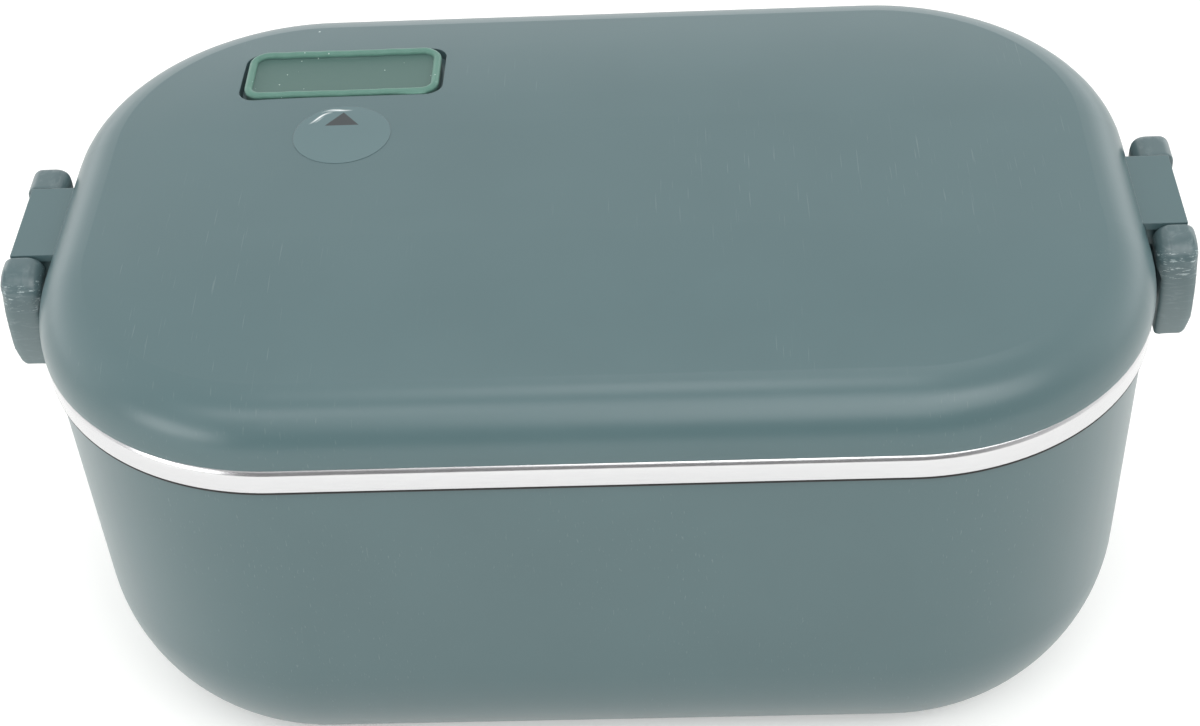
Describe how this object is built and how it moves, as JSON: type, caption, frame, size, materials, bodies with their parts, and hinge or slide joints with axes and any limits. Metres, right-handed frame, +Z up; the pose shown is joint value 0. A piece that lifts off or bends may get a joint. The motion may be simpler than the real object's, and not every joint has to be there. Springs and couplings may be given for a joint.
{
  "type": "electric lunch box",
  "caption": "Electric lunch box: oval plastic body with a lift-out steel liner, a domed lid held by swinging end latches, a silicone steam valve and a heater in its base",
  "frame": {"origin": "on the surface the box stands on, under the middle of its bounding box", "axes": "+X along the length towards the right-hand latch, +Y towards the back with the power inlet, +Z up"},
  "size_m": [0.2558, 0.1498, 0.1133],
  "materials": {
    "green_plastic": "moulded polypropylene, dark grey-green, satin",
    "tub_plastic": "heat-resistant polypropylene, off-white",
    "base_plastic": "moulded polypropylene, satin",
    "panel_plastic": "food-grade polypropylene, pale grey",
    "black_plastic": "black nylon",
    "black_phenolic": "phenolic body",
    "lens_plastic": "amber lens",
    "lamp_plastic": "lamp body",
    "clear_film": "thin gloss film",
    "zinc_steel": "zinc-plated steel",
    "spring_steel": "spring steel strip",
    "pin_steel": "ground steel pin",
    "liner_steel": "pressed stainless steel",
    "cast_aluminium": "heating plate, machined face",
    "heater_aluminium": "heater case, extruded",
    "fuse_ceramic": "ceramic fuse tube",
    "pin_brass": "plated contact pins",
    "foot_rubber": "black rubber",
    "lead_silicone": "silicone-insulated leads",
    "seal_silicone": "translucent white silicone",
    "valve_silicone": "green silicone"
  },
  "bodies": {
    "root": {"outer_shell": "green_plastic", "inner_tub": "tub_plastic", "base_cover": "base_plastic", "base_screws": "zinc_steel", "rubber_feet": "foot_rubber", "heating_plate": "cast_aluminium", "plate_screws": "zinc_steel", "ptc_heater": "heater_aluminium", "heater_clamps": "spring_steel", "clamp_screws": "zinc_steel", "thermostat": "black_phenolic", "thermal_fuse": "fuse_ceramic", "fuse_clip": "spring_steel", "power_inlet": "black_plastic", "inlet_pins": "pin_brass", "indicator_lens": "lens_plastic", "indicator_lamp": "lamp_plastic", "wire_leads": "lead_silicone"},
    "liner": {"steel_liner": "liner_steel"},
    "lid": {"lid_shell": "green_plastic", "lid_panel": "panel_plastic", "lid_seal": "seal_silicone", "vent_bush": "seal_silicone", "valve_anchor": "valve_silicone", "label_film": "clear_film", "left_hinge_pin": "pin_steel", "right_hinge_pin": "pin_steel"},
    "valve_flap": {"valve_plug": "valve_silicone"},
    "latch_left": {"left_latch": "green_plastic"},
    "latch_right": {"right_latch": "green_plastic"}
  },
  "joints": [
    {"name": "liner_lift", "type": "slide", "parent": "root", "child": "liner", "axis": [0, 0, 1], "range_m": [0, 0.1]},
    {"name": "lid_lift", "type": "slide", "parent": "liner", "child": "lid", "axis": [0, 0, 1], "range_m": [0, 0.1]},
    {"name": "valve_open", "type": "hinge", "parent": "lid", "child": "valve_flap", "pos_m": [-0.0725, 0.0417, 0.1131], "axis": [0, -1, 0], "range_deg": [0, 75]},
    {"name": "left_latch_open", "type": "hinge", "parent": "lid", "child": "latch_left", "pos_m": [-0.1235, 0, 0.0996], "axis": [0, 1, 0], "range_deg": [0, 120]},
    {"name": "right_latch_open", "type": "hinge", "parent": "lid", "child": "latch_right", "pos_m": [0.1235, 0, 0.0996], "axis": [0, -1, 0], "range_deg": [0, 120]}
  ]
}
